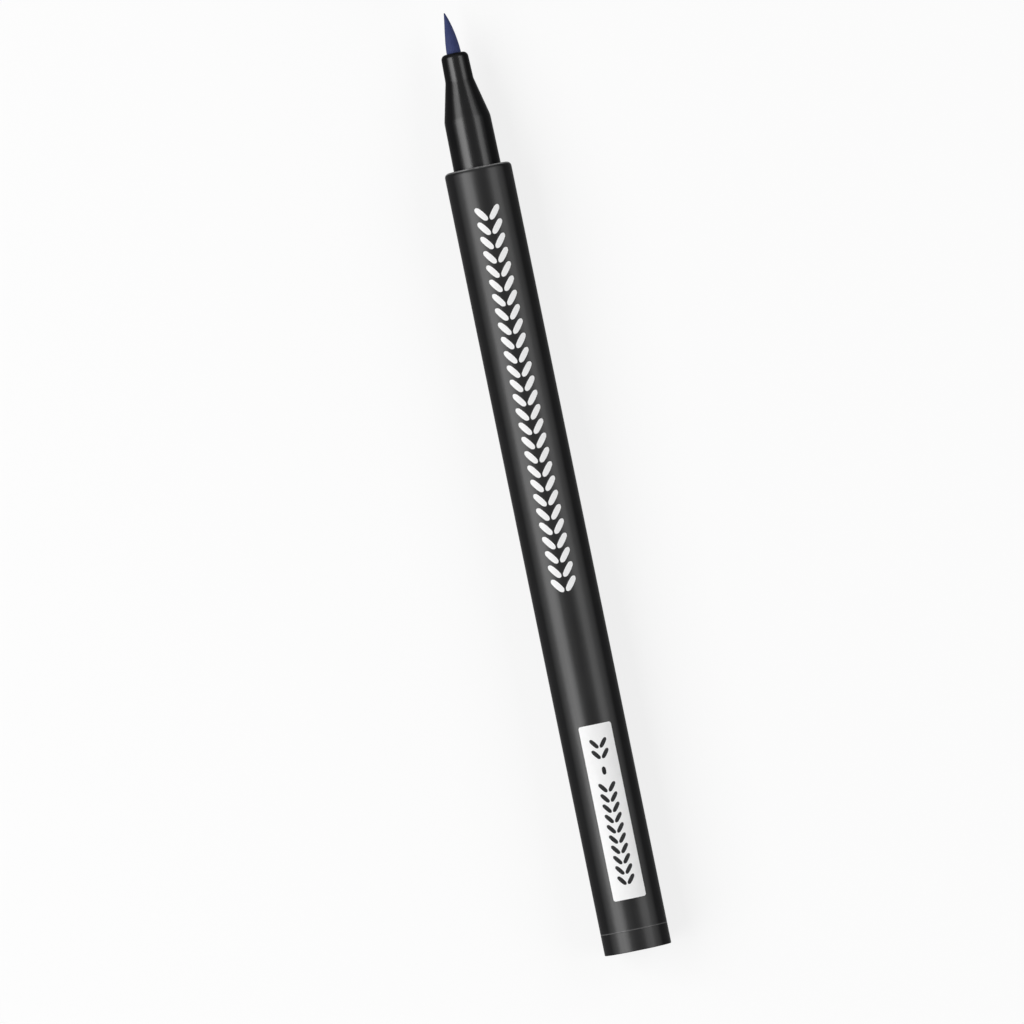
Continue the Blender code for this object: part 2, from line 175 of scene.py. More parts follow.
# Gloss of the black plastic: faded at the sides, full on an end face, and where such a face begins
FACING_BLEND = 0.5
SIDE_GLOSS = 0.006
END_FACE_GLOSS = 0.5
END_FACE_SPAN = (0.97, 0.995)

# Rounded rims turned grey as rubbed wear and as a painted highlight, by how far they turn endwards, and how
# it varies from patch to patch
BLACK = (0, 0, 0, 1)
WHITE = (1, 1, 1, 1)
RIM_WEAR_AND_HIGHLIGHT_STOPS = ((0.6, BLACK), (0.78, WHITE), (0.97, WHITE), (0.99, BLACK))
RIM_PATCH_SPAN = (0.35, 0.65)
LEAST_RIM_SHARE = 0.35

# The studio: how far out the floor turns plain white, and how high up the white walls fade out
FLOOR_FADE_SPAN = (0.25, 1.2)
WALL_FADE_SPAN = (0.05, 0.5)

# The photograph's frame, in its pixels
PHOTO_WIDTH = 1024
TAIL_PIXEL = (638.15, 949.5)
PIXELS_PER_METRE = 6800
SENSOR_WIDTH = 36.0


class MarkerShape(bpy.types.PropertyGroup):
    """Sizes of the moulded pieces."""

    facets: IntProperty(
        name="Facets", description="Faces round each turned piece", default=128, min=24, max=512
    )
    arc_steps: IntProperty(
        name="Arc steps", description="Faces across each rounded edge", default=8, min=2, max=32
    )
    fit_gap: FloatProperty(
        name="Fit gap", description="Gap between two pieces pressed together",
        default=0.00005, unit="LENGTH",
    )
    seat_gap: FloatProperty(
        name="Seat gap", description="Gap where two pieces meet end to end", default=0.0001, unit="LENGTH"
    )
    tank_wall: FloatProperty(
        name="Tank wall", description="Wall of the barrel round the ink tank",
        default=0.0009, unit="LENGTH",
    )
    front_bore_radius: FloatProperty(
        name="Front bore radius", description="Radius of the barrel's bore ahead of the tank",
        default=0.003575, unit="LENGTH",
    )
    tank_front: FloatProperty(
        name="Tank front", description="Distance from the tail to the step where the tank ends",
        default=COLLECTOR_LOW.x - COLLECTOR_GAP, unit="LENGTH",
    )
    barrel_front_rounding: FloatProperty(
        name="Barrel front rounding", description="Radius of the barrel's front rim",
        default=0.0007, unit="LENGTH",
    )
    seam_rounding: FloatProperty(
        name="Seam rounding", description="Radius of both edges where barrel and plug meet",
        default=0.00004, unit="LENGTH",
    )
    seam_gap: FloatProperty(
        name="Seam gap", description="Gap that shows between barrel and plug",
        default=0.00001, unit="LENGTH",
    )
    tail_rounding: FloatProperty(
        name="Tail rounding", description="Radius of the edge round the tail face",
        default=0.00012, unit="LENGTH",
    )
    spigot_wall: FloatProperty(
        name="Spigot wall", description="Wall of the plug's spigot", default=0.0010, unit="LENGTH"
    )
    gate_radius: FloatProperty(
        name="Gate radius", description="Radius of the shallow dish round a moulding gate",
        default=0.0011, unit="LENGTH",
    )
    gate_depth: FloatProperty(
        name="Gate depth", description="Depth of the dish round a moulding gate",
        default=0.00018, unit="LENGTH",
    )
    grip_length: FloatProperty(
        name="Grip length", description="Length of the section's grip", default=0.0073, unit="LENGTH"
    )
    grip_taper: FloatProperty(
        name="Grip taper", description="How much the grip's radius falls to its front",
        default=0.000075, unit="LENGTH",
    )
    cone_length: FloatProperty(
        name="Cone length", description="Length of the section's cone", default=0.0058, unit="LENGTH"
    )
    cone_rear_rounding: FloatProperty(
        name="Cone rear rounding", description="Radius where grip and cone meet",
        default=0.0030, unit="LENGTH",
    )
    cone_front_rounding: FloatProperty(
        name="Cone front rounding", description="Radius where cone and neck meet",
        default=0.0020, unit="LENGTH",
    )
    neck_rear_radius: FloatProperty(
        name="Neck rear radius", description="Radius of the neck at the cone",
        default=0.00210, unit="LENGTH",
    )
    neck_front_radius: FloatProperty(
        name="Neck front radius", description="Radius of the neck at the nib",
        default=0.00200, unit="LENGTH",
    )
    neck_end_rounding: FloatProperty(
        name="Neck end rounding", description="Radius of the neck's front edge",
        default=0.00075, unit="LENGTH",
    )
    section_wall: FloatProperty(
        name="Section wall", description="Wall of the section inside the barrel",
        default=0.000725, unit="LENGTH",
    )
    holder_wall: FloatProperty(
        name="Holder wall", description="Wall of the nib holder's tube", default=0.00035, unit="LENGTH"
    )
    holder_flange_length: FloatProperty(
        name="Holder flange", description="Length of the nib holder's flange",
        default=0.0010, unit="LENGTH",
    )
    lip_length: FloatProperty(
        name="Lip length", description="Length of the lip that holds the nib",
        default=0.0008, unit="LENGTH",
    )
    cap_wall: FloatProperty(name="Cap wall", description="Wall of the cap", default=0.0008, unit="LENGTH")
    cap_end_wall: FloatProperty(
        name="Cap end wall", description="Thickness of the cap's closed end",
        default=0.0015, unit="LENGTH",
    )
    cap_end_rounding: FloatProperty(
        name="Cap end rounding", description="Radius of the closed end's edge",
        default=0.0003, unit="LENGTH",
    )
    cap_mouth_rounding: FloatProperty(
        name="Cap mouth rounding", description="Radius of the cap's mouth", default=0.0002, unit="LENGTH"
    )
    liner_mouth_rounding: FloatProperty(
        name="Liner mouth rounding", description="Radius of the liner's mouth",
        default=0.0002, unit="LENGTH",
    )
    liner_wall: FloatProperty(
        name="Liner wall", description="Wall of the liner's chamber", default=0.0008, unit="LENGTH"
    )
    liner_collar_length: FloatProperty(
        name="Liner collar", description="Length of the liner's front collar",
        default=0.0010, unit="LENGTH",
    )
    liner_seat_lead: FloatProperty(
        name="Liner seat lead", description="Offset of the liner's outer cone from its inner one",
        default=0.0010, unit="LENGTH",
    )
    liner_running_gap: FloatProperty(
        name="Liner running gap", description="Gap between liner and grip", default=0.0001, unit="LENGTH"
    )
    liner_neck_gap: FloatProperty(
        name="Liner neck gap", description="Gap between liner and neck", default=0.0002, unit="LENGTH"
    )
    liner_cone_lead: FloatProperty(
        name="Liner cone lead", description="Gap between liner and cone", default=0.0003, unit="LENGTH"
    )


class MarkerNib(bpy.types.PropertyGroup):
    """Sizes of the brush nib."""

    exposed_length: FloatProperty(
        name="Exposed length", description="Length of nib ahead of the neck",
        default=0.00605, unit="LENGTH",
    )
    rings: IntProperty(
        name="Rings", description="Rings along the exposed nib", default=56, min=8, max=400
    )
    taper_power: FloatProperty(
        name="Taper power", description="Higher keeps the nib full for longer",
        default=1.6, min=1.0, max=4.0,
    )
    tip_share: FloatProperty(
        name="Tip share", description="Tip radius as a share of the nib's", default=0.08, min=0.0, max=0.5
    )
    tip_bend: FloatProperty(
        name="Tip bend", description="How far the tip leans to the side", default=0.00021, unit="LENGTH"
    )
    bend_power: FloatProperty(
        name="Bend power", description="Higher bends the nib nearer its tip",
        default=4.0, min=1.0, max=8.0,
    )
    fibre_count: IntProperty(
        name="Fibre ridges", description="Ridges of fibre round the nib", default=26, min=3, max=90
    )
    fibre_depth: FloatProperty(
        name="Fibre depth", description="Ridge depth as a share of the radius",
        default=0.035, min=0.0, max=0.3,
    )


class MarkerPrint(bpy.types.PropertyGroup):
    """Sizes of the label and of the printed stitches."""

    ink_thickness: FloatProperty(
        name="Ink thickness", description="How far print stands proud", default=0.000018, unit="LENGTH"
    )
    sunk_depth: FloatProperty(
        name="Sunk depth", description="How far print and label reach into what carries them",
        default=0.00002, unit="LENGTH",
    )
    label_corner_radius: FloatProperty(
        name="Label corner radius", description="Radius of the label's corners",
        default=0.00035, unit="LENGTH",
    )
    row_turn: FloatProperty(
        name="Row turn", description="Turn of the printed rows from straight up",
        default=math.radians(-1.7), subtype="ANGLE",
    )
    row_start: FloatProperty(
        name="Row start", description="Distance from the tail to the first stitch",
        default=0.0537, unit="LENGTH",
    )
    row_end: FloatProperty(
        name="Row end", description="Distance from the tail to the end of the last stitch",
        default=0.1115, unit="LENGTH",
    )
    stitch_count: IntProperty(
        name="Stitches", description="Pairs of stitches along the barrel", default=27, min=1, max=200
    )
    stitch_length: FloatProperty(
        name="Stitch length", description="Length of a stitch on the barrel",
        default=0.0025, unit="LENGTH",
    )
    stitch_width: FloatProperty(
        name="Stitch width", description="Width of a stitch on the barrel", default=0.0009, unit="LENGTH"
    )
    stitch_slant: FloatProperty(
        name="Stitch slant", description="Turn of a stitch from the row",
        default=math.radians(38), subtype="ANGLE",
    )
    stitch_taper: FloatProperty(
        name="Stitch taper", description="How much a stitch narrows to its ends",
        default=0.3, min=0.0, max=0.9,
    )
    stitch_gap: FloatProperty(
        name="Stitch gap", description="Gap between the two stitches of a pair",
        default=0.00013, unit="LENGTH",
    )
    label_margin: FloatProperty(
        name="Label margin", description="Bare label at each end of the print",
        default=0.0021, unit="LENGTH",
    )
    label_short_count: IntProperty(
        name="Short row", description="Pairs of stitches in the label's short row",
        default=2, min=1, max=60,
    )
    label_long_count: IntProperty(
        name="Long row", description="Pairs of stitches in the label's long row",
        default=10, min=1, max=60,
    )
    label_long_share: FloatProperty(
        name="Long row share", description="The long row's share of the label's print",
        default=0.70, min=0.1, max=0.9,
    )
    label_short_share: FloatProperty(
        name="Short row share", description="The short row's share of the label's print",
        default=0.14, min=0.05, max=0.9,
    )
    label_stitch_share: FloatProperty(
        name="Label stitch share", description="Size of the label's stitches beside the barrel's",
        default=0.68, min=0.1, max=1.0,
    )


class MarkerFinish(bpy.types.PropertyGroup):
    """Colours and roughness of each finish."""

    barrel_colour: FloatVectorProperty(
        name="Barrel", description="Black of barrel and cap",
        subtype="COLOR", size=3, default=(0.0160, 0.0160, 0.0165), min=0, max=1,
    )
    barrel_roughness: FloatProperty(
        name="Barrel roughness", description="Satin of barrel and cap", default=0.335, min=0, max=1
    )
    # Grey of the rims: partly rubbed wear, partly a painted highlight on the rims and along the seam line
    rim_wear_and_highlight_colour: FloatVectorProperty(
        name="Wear", description="Grey of the barrel, plug and cap where their rims are rubbed",
        subtype="COLOR", size=3, default=(0.34, 0.34, 0.34), min=0, max=1,
    )
    # Grey of the section's rims where a painted highlight would go, kept nearly as dark as the section
    section_rim_wear_and_highlight_colour: FloatVectorProperty(
        name="Section wear", description="Grey of the section where its edges are rubbed",
        subtype="COLOR", size=3, default=(0.014, 0.014, 0.0145), min=0, max=1,
    )
    # Painted highlight: a light line on the barrel beside the plug, and its width
    seam_highlight: FloatProperty(
        name="Seam wear", description="How worn the barrel is beside the plug", default=0.23, min=0, max=1
    )
    seam_highlight_width: FloatProperty(
        name="Seam wear width", description="Width of the worn line beside the plug",
        default=0.00018, unit="LENGTH",
    )
    barrel_grain: FloatProperty(
        name="Barrel grain", description="Depth of grain on barrel and cap",
        default=0.000004, unit="LENGTH",
    )
    section_grain: FloatProperty(
        name="Section grain", description="Depth of grain on the section", default=0.000002, unit="LENGTH"
    )
    barrel_gloss: FloatProperty(
        name="Barrel gloss", description="Gloss of barrel and cap where they face the viewer",
        default=0.6, min=0, max=1,
    )
    section_gloss: FloatProperty(
        name="Section gloss", description="Gloss of the section where it faces the viewer",
        default=0.80, min=0, max=1,
    )
    barrel_fade: FloatVectorProperty(
        name="Barrel fade",
        description="How far the barrel turns away where its gloss starts to fade, and where it is gone",
        size=2, default=(0.12, 0.37), min=0, max=1,
    )
    section_fade: FloatVectorProperty(
        name="Section fade",
        description="How far the section turns away where its gloss starts to fade, and where it is gone",
        size=2, default=(0.02, 0.28), min=0, max=1,
    )
    section_colour: FloatVectorProperty(
        name="Section", description="Black of the front section",
        subtype="COLOR", size=3, default=(0.0100, 0.0100, 0.0105), min=0, max=1,
    )
    section_roughness: FloatProperty(
        name="Section roughness", description="Satin of the front section", default=0.24, min=0, max=1
    )
    ink_colour: FloatVectorProperty(
        name="Ink", description="Deep blue of the soaked nib",
        subtype="COLOR", size=3, default=(0.032, 0.044, 0.136), min=0, max=1,
    )
    label_colour: FloatVectorProperty(
        name="Label", description="White of the label",
        subtype="COLOR", size=3, default=(0.95, 0.95, 0.95), min=0, max=1,
    )
    print_colour: FloatVectorProperty(
        name="Print", description="White of the printed stitches",
        subtype="COLOR", size=3, default=(0.94, 0.94, 0.94), min=0, max=1,
    )
    label_ink_colour: FloatVectorProperty(
        name="Label ink", description="Black of the stitches on the label",
        subtype="COLOR", size=3, default=(0.012, 0.012, 0.013), min=0, max=1,
    )
    liner_colour: FloatVectorProperty(
        name="Liner", description="Grey of the cap's liner",
        subtype="COLOR", size=3, default=(0.30, 0.30, 0.31), min=0, max=1,
    )
    natural_colour: FloatVectorProperty(
        name="Natural plastic", description="White of holder and collector",
        subtype="COLOR", size=3, default=(0.74, 0.74, 0.71), min=0, max=1,
    )
    steel_colour: FloatVectorProperty(
        name="Steel", description="Colour of the mixing balls",
        subtype="COLOR", size=3, default=(0.60, 0.60, 0.61), min=0, max=1,
    )


class MarkerStudio(bpy.types.PropertyGroup):
    """Camera, lamps and floor."""

    camera_height: FloatProperty(
        name="Camera height", description="Height of the camera above the marker",
        default=2.0, unit="LENGTH",
    )
    lean: FloatProperty(
        name="Lean", description="How far the marker leans in the picture",
        default=math.radians(11.62), subtype="ANGLE",
    )
    lamp_distance: FloatProperty(
        name="Lamp distance", description="Distance of each soft box from the marker",
        default=1.1, unit="LENGTH",
    )
    lamp_length: FloatProperty(
        name="Lamp length", description="Length of each soft box along the marker",
        default=1.4, unit="LENGTH",
    )
    key_width: FloatProperty(
        name="Key width", description="Width of the brighter soft box", default=0.80, unit="LENGTH"
    )
    fill_width: FloatProperty(
        name="Fill width", description="Width of the dimmer soft box", default=0.58, unit="LENGTH"
    )
    key_angle: FloatProperty(
        name="Key angle", description="Tilt of the brighter soft box from straight up",
        default=math.radians(44.5), subtype="ANGLE",
    )
    fill_angle: FloatProperty(
        name="Fill angle", description="Tilt of the dimmer soft box from straight up",
        default=math.radians(49), subtype="ANGLE",
    )
    key_power: FloatProperty(
        name="Key power", description="Power of the brighter soft box", default=11.5, unit="POWER"
    )
    fill_power: FloatProperty(
        name="Fill power", description="Power of the dimmer soft box", default=4.4, unit="POWER"
    )
    ceiling_strength: FloatProperty(
        name="Ceiling strength", description="Brightness of the dim ceiling", default=0.14, min=0, max=1
    )
    floor_colour: FloatVectorProperty(
        name="Floor", description="Colour of the pale floor",
        subtype="COLOR", size=3, default=(0.20, 0.20, 0.20), min=0, max=1,
    )
    floor_glow: FloatProperty(
        name="Floor glow", description="White seen on the floor beside its own colour",
        default=0.792, min=0, max=1,
    )
    floor_size: FloatProperty(
        name="Floor size", description="Width of the floor", default=60.0, unit="LENGTH"
    )


def set_inputs(owner, node, inputs):
    """Give the node's inputs, by name or number, a value or another node's output."""
    for socket, value in inputs.items():
        if isinstance(value, bpy.types.NodeSocket):
            owner.node_tree.links.new(value, node.inputs[socket])
        else:
            node.inputs[socket].default_value = value


def add_node(owner, kind, inputs=None, **settings):
    """A new node of a material or a world, with its settings and inputs."""
    node = owner.node_tree.nodes.new(kind)
    for name, value in settings.items():
        setattr(node, name, value)
    set_inputs(owner, node, inputs or {})
    return node


def new_material(name):
    """A material and its shader."""
    material = bpy.data.materials.new(name)
    material.use_nodes = True
    return material, material.node_tree.nodes["Principled BSDF"]


def calculate(owner, operation, *numbers):
    """What the operation makes of one or two numbers or outputs."""
    node = add_node(owner, "ShaderNodeMath", dict(enumerate(numbers)), operation=operation)
    return node.outputs["Value"]


def spread(owner, number, from_span, to_span, interpolation="LINEAR"):
    """The number, spread from one span to another and held at its ends."""
    inputs = {"Value": number}
    inputs["From Min"], inputs["From Max"] = from_span
    inputs["To Min"], inputs["To Max"] = to_span
    node = add_node(owner, "ShaderNodeMapRange", inputs, interpolation_type=interpolation)
    return node.outputs["Result"]


def along_axis(owner, coordinates, axis):
    """One axis of the surface's place or direction."""
    place = add_node(owner, "ShaderNodeTexCoord")
    parts = add_node(owner, "ShaderNodeSeparateXYZ", {"Vector": place.outputs[coordinates]})
    return parts.outputs[axis]


def stretched_noise(material, stretch, scale, detail):
    """Noise in the piece's own metres, drawn out along the marker where stretch's first number is small."""
    place = add_node(material, "ShaderNodeTexCoord")
    mapping = add_node(material, "ShaderNodeMapping", {"Vector": place.outputs["Object"], "Scale": stretch})
    inputs = {"Vector": mapping.outputs["Vector"], "Scale": scale, "Detail": detail}
    inputs["Roughness"] = NOISE_ROUGHNESS
    return add_node(material, "ShaderNodeTexNoise", inputs).outputs["Fac"]


def colour_ramp(material, number, stops):
    """The colour that goes with a number, from stops that each give a number and its colour."""
    ramp = add_node(material, "ShaderNodeValToRGB", {"Fac": number})
    elements = ramp.color_ramp.elements
    for index, (position, colour) in enumerate(stops):
        stop = elements[index] if index < len(elements) else elements.new(position)
        stop.position = position
        stop.color = colour
    return ramp.outputs["Color"]


def varied_colour(material, pattern, colour, share):
    """The colour, darker and lighter by the share as the pattern falls and rises."""
    stops = [
        (number, (*(channel * factor for channel in colour), 1))
        for number, factor in zip(PATTERN_SPAN, (1 - share, 1 + share))
    ]
    return colour_ramp(material, pattern, stops)


def varied_number(material, pattern, middle, swing):
    """A number that swings about its middle as the pattern goes."""
    return spread(material, pattern, PATTERN_SPAN, (middle - swing, middle + swing))


def relief(material, pattern, depth):
    """The surface's direction with the pattern raised on it."""
    bump = add_node(material, "ShaderNodeBump", {"Height": pattern, "Strength": 1.0, "Distance": depth})
    return bump.outputs["Normal"]


def endwards(material):
    """How far the surface turns towards an end of the marker: 0 on the round sides, 1 on an end face."""
    return calculate(material, "ABSOLUTE", along_axis(material, "Normal", "X"))


def side_faded_gloss(material, gloss, fade_span):
    """Gloss that dies away where all but the end faces turn from the viewer, as on a fine moulded grain."""
    facing = add_node(material, "ShaderNodeLayerWeight", {"Blend": FACING_BLEND}).outputs["Facing"]
    sides = spread(material, facing, fade_span, (gloss, SIDE_GLOSS), "SMOOTHSTEP")
    on_end = spread(material, endwards(material), END_FACE_SPAN, (0, 1), "SMOOTHSTEP")
    inputs = {"Factor": on_end, "A": sides, "B": END_FACE_GLOSS}
    return add_node(material, "ShaderNodeMix", inputs, data_type="FLOAT").outputs["Result"]


def highlight_line(material, at_x, width, amount):
    """A painted highlight in a thin line round the marker at a place along it, fading out over its width."""
    offset = calculate(material, "SUBTRACT", along_axis(material, "Object", "X"), at_x)
    distance = calculate(material, "ABSOLUTE", offset)
    return spread(material, distance, (width / 2, width), (amount, 0), "SMOOTHSTEP")


def rubbed_and_highlighted_colour(material, black, grey, line):
    """The black, turned grey in patches on the rounded rims as wear and a painted highlight, and along a
    painted highlight line if one is given.
    """
    # Rim mask: painted highlight and wear where the surface turns endwards
    rims = colour_ramp(material, endwards(material), RIM_WEAR_AND_HIGHLIGHT_STOPS)
    patches = stretched_noise(material, *RIM_PATCHES)
    patchy = spread(material, patches, RIM_PATCH_SPAN, (LEAST_RIM_SHARE, 1))
    wear_and_highlight = calculate(material, "MULTIPLY", rims, patchy)
    if line:
        wear_and_highlight = calculate(material, "MAXIMUM", wear_and_highlight, highlight_line(material, *line))
    inputs = {"Factor": wear_and_highlight, "A": black, "B": (*grey, 1)}
    return add_node(material, "ShaderNodeMix", inputs, data_type="RGBA").outputs["Result"]


def noisy_finish(name, colour, colour_share, roughness, swing, depth, patterns, **others):
    """A material whose three noise patterns vary its colour and roughness and raise its relief."""
    material, shader = new_material(name)
    noises = {pattern: stretched_noise(material, *pattern) for pattern in dict.fromkeys(patterns)}
    for_colour, for_roughness, for_relief = (noises[pattern] for pattern in patterns)
    inputs = {
        "Base Color": varied_colour(material, for_colour, colour, colour_share),
        "Roughness": varied_number(material, for_roughness, roughness, swing),
        "Normal": relief(material, for_relief, depth),
    }
    set_inputs(material, shader, {**inputs, **others})
    return material


def satin_plastic(name, colour, roughness, grain_depth, gloss, fade_span, grey, line=None):
    """Black moulded plastic: fine grain, faint draw marks, slightly cloudy colour, and rims turned grey by
    wear and a painted highlight.
    """
    patterns = (PLASTIC_CLOUDS, DRAW_MARKS, PLASTIC_GRAIN)
    material = noisy_finish(
        name, colour, PLASTIC_COLOUR_SHARE, roughness, PLASTIC_SWING, grain_depth, patterns
    )
    shader = material.node_tree.nodes["Principled BSDF"]
    black = shader.inputs["Base Color"].links[0].from_socket
    inputs = {
        "Base Color": rubbed_and_highlighted_colour(material, black, grey, line),
        "Specular IOR Level": side_faded_gloss(material, gloss, fade_span),
    }
    set_inputs(material, shader, inputs)
    return material


def outer_plastic(name, finish, line=None):
    """The black plastic of barrel, plug and cap."""
    return satin_plastic(
        name,
        finish.barrel_colour,
        finish.barrel_roughness,
        finish.barrel_grain,
        finish.barrel_gloss,
        finish.barrel_fade,
        finish.rim_wear_and_highlight_colour,
        line,
    )


def plain_plastic(name, colour, roughness):
    """Natural or grey moulded plastic, with a fine grain and faint flow marks."""
    patterns = (FLOW_MARKS, INNER_GRAIN, INNER_GRAIN)
    return noisy_finish(name, colour, INNER_COLOUR_SHARE, roughness, INNER_SWING, INNER_DEPTH, patterns)


def soaked_fibre(name, colour):
    """Bonded fibre full of ink, with fine fibres along it."""
    patterns = (FIBRES, SOAKED_PATCHES, FIBRES)
    sheen = {"Sheen Weight": FIBRE_SHEEN, "Sheen Roughness": FIBRE_SHEEN_ROUGHNESS}
    sheen["Specular IOR Level"] = FIBRE_GLOSS
    return noisy_finish(
        name, colour, FIBRE_COLOUR_SHARE, FIBRE_ROUGHNESS, FIBRE_SWING, FIBRE_RELIEF_DEPTH, patterns, **sheen
    )


def label_paper(name, colour):
    """Smooth coated paper with a faint tooth."""
    patterns = (PAPER_MOTTLE, PAPER_TOOTH, PAPER_TOOTH)
    return noisy_finish(name, colour, PAPER_COLOUR_SHARE, PAPER_ROUGHNESS, PAPER_SWING, PAPER_DEPTH, patterns)


def printing_ink(name, colour, roughness):
    """A thin film of printing ink, a little uneven."""
    patterns = (INK_COVER, INK_FILM, INK_FILM)
    return noisy_finish(name, colour, INK_COLOUR_SHARE, roughness, INK_SWING, INK_DEPTH, patterns)


def polished_steel(name, colour):
    """Plain bearing steel with fine scratches."""
    patterns = (SCRATCHES, SCRATCHES, SCRATCHES)
    return noisy_finish(
        name, colour, STEEL_COLOUR_SHARE, STEEL_ROUGHNESS, STEEL_SWING, STEEL_DEPTH, patterns, Metallic=1.0
    )


def rounded_outline(corners, arc_steps, closed):
    """The outline through (x, radius, rounding) corners, with an arc at each that has a rounding."""
    points = []
    for index, (x, radius, rounding) in enumerate(corners):
        here = Vector((x, radius))
        if not rounding:
            points.append(here)
            continue
        neighbours = (corners[index - 1], corners[(index + 1) % len(corners)])
        back, onward = (Vector(neighbour[:2]) - here for neighbour in neighbours)
        edge_shares = [SHARED_EDGE_SHARE if neighbour[2] else LONE_EDGE_SHARE for neighbour in neighbours]
        half_angle = back.angle(onward) / 2
        reach = min(
            rounding / math.tan(half_angle), back.length * edge_shares[0], onward.length * edge_shares[1]
        )
        middle_way = (back.normalized() + onward.normalized()).normalized()
        centre = here + middle_way * reach / math.cos(half_angle)
        start = here + back.normalized() * reach - centre
        sweep = start.angle_signed(here + onward.normalized() * reach - centre)
        for step in range(arc_steps + 1):
            points.append(centre + Matrix.Rotation(-sweep * step / arc_steps, 2) @ start)
    return with_support_points(points, closed)


def with_support_points(points, closed):
    """Add points near the ends of long runs and along them, so that smooth shading stays true there."""
    supported = []
    last = len(points) if closed else len(points) - 1
    for index, here in enumerate(points):
        supported.append(here)
        if index >= last:
            break
        there = points[(index + 1) % len(points)]
        length = (there - here).length
        if length * SUPPORT_SHARE < SUPPORT_DISTANCE:
            continue
        edge_share = SUPPORT_DISTANCE / length
        inner_count = math.ceil(length / LONGEST_RUN)
        shares = [edge_share]
        shares += [step / inner_count for step in range(1, inner_count)]
        shares.append(1 - edge_share)
        supported += [here.lerp(there, share) for share in shares]
    return supported


def turned_mesh(name, corners, shape, closed):
    """A mesh turned about the X axis. A closed outline makes a ring, an open one ends on the axis."""
    points = rounded_outline(corners, shape.arc_steps, closed)
    form = bmesh.new()
    rings = []
    for x, radius in points:
        if radius <= 0:
            rings.append([form.verts.new((x, 0, 0))])
            continue
        turns = (2 * math.pi * facet / shape.facets for facet in range(shape.facets))
        rings.append([turned_point(form, x, radius, turn) for turn in turns])
    pairs = list(zip(rings, rings[1:]))
    if closed:
        pairs.append((rings[-1], rings[0]))
    for first, second in pairs:
        join_rings(form, first, second)
    return finished_mesh(name, form)


def turned_point(form, x, radius, turn):
    """A point at this radius from the X axis, turned from straight up towards +Y."""
    return form.verts.new((x, radius * math.sin(turn), radius * math.cos(turn)))


def join_rings(form, first, second):
    """Faces between two rings of points, either of which may be a single point."""
    count = max(len(first), len(second))
    for index in range(count):
        following = (index + 1) % count
        corners = [first[index % len(first)], first[following % len(first)]]
        corners += [second[following % len(second)], second[index % len(second)]]
        form.faces.new(list(dict.fromkeys(corners)))


def finished_mesh(name, form):
    """Turn the form into a mesh whose faces look outwards, smooth but for its sharp edges."""
    bmesh.ops.recalc_face_normals(form, faces=form.faces)
    mesh = bpy.data.meshes.new(name)
    form.to_mesh(mesh)
    form.free()
    mesh.shade_smooth()
    mesh.set_sharp_from_angle(angle=SHARP_ANGLE)
    return mesh


def add_piece(name, mesh, material, body, nodes=()):
    """Link the mesh as a piece that rides on a body and stands for the frame's nodes."""
    piece = bpy.data.objects.new(name, mesh)
    bpy.context.scene.collection.objects.link(piece)
    piece.data.materials.append(material)
    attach(piece, body)
    if nodes:
        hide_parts(*nodes)
    return piece


def gate_dish(face_x, inward, shape):
    """Corners of a shallow dish with a small gate mark, from the axis outwards, on an end face."""
    floor_x = face_x + inward * shape.gate_depth
    mark_x = face_x + inward * shape.gate_depth * GATE_MARK_DEPTH_SHARE
    mark_rounding = shape.gate_depth * GATE_MARK_ROUNDING_SHARE
    rim_rounding = shape.gate_depth * GATE_RIM_ROUNDING_SHARE
    return [
        (mark_x, 0, 0),
        (mark_x, shape.gate_radius * GATE_MARK_TOP_SHARE, mark_rounding),
        (floor_x, shape.gate_radius * GATE_MARK_FOOT_SHARE, mark_rounding),
        (floor_x, shape.gate_radius * GATE_FLOOR_SHARE, rim_rounding),
        (face_x, shape.gate_radius, rim_rounding),
    ]


def curved_patch(form, place, size, corner_radius, radii, slant=0.0, taper=0.0):
    """Add a thin patch with round corners that follows the barrel.

    Its middle is at place, an X and a turn about the axis. Its length lies along X, or slants from it by an
    angle on the barrel's surface, and a taper narrows it towards both ends.
    """
    middle_x, middle_turn = place
    length, width = size
    inner_radius, outer_radius = radii
    across_steps = max(LEAST_PATCH_STEPS, math.ceil(width / outer_radius / PATCH_STEP))
    outer_rows, inner_rows = [], []
    for along in patch_stations(length, corner_radius):
        into_corner = max(abs(along) - length / 2 + corner_radius, 0)
        half_width = width / 2 - corner_radius + math.sqrt(max(corner_radius**2 - into_corner**2, 0))
        half_width *= 1 - taper * (2 * along / length) ** 2
        half_width = max(half_width, width * STITCH_LEAST_WIDTH_SHARE)
        points = []
        for step in range(across_steps + 1):
            across = half_width * (2 * step / across_steps - 1)
            x = middle_x + along * math.cos(slant) - across * math.sin(slant)
            turn = middle_turn + (along * math.sin(slant) + across * math.cos(slant)) / outer_radius
            points.append((x, turn))
        for rows, radius in ((outer_rows, outer_radius), (inner_rows, inner_radius)):
            rows.append([turned_point(form, x, radius, turn) for x, turn in points])
    for rows in (outer_rows, inner_rows):
        for first, second in zip(rows, rows[1:]):
            for index in range(across_steps):
                form.faces.new((first[index], first[index + 1], second[index + 1], second[index]))
    outer_rim, inner_rim = (patch_rim(rows) for rows in (outer_rows, inner_rows))
    join_rings(form, outer_rim, inner_rim)


def patch_stations(length, corner_radius):
    """Places along a patch, from end to end, close together where its corners are round."""
    corner_steps = [math.pi / 2 * step / PATCH_ARC_STEPS for step in range(PATCH_ARC_STEPS + 1)]
    corner = [length / 2 - corner_radius * (1 - math.cos(angle)) for angle in corner_steps]
    straight = length / 2 - corner_radius
    straight_count = math.ceil(2 * straight / STATION_STEP)
    stations = [-place for place in corner]
    stations += [straight * (2 * step / straight_count - 1) for step in range(1, straight_count)]
    stations += reversed(corner)
    return stations


def patch_rim(rows):
    """The points round the edge of a patch, in order."""
    rim = list(rows[0])
    rim += [row[-1] for row in rows[1:]]
    rim += list(reversed(rows[-1][:-1]))
    rim += [row[0] for row in reversed(rows[1:-1])]
    return rim


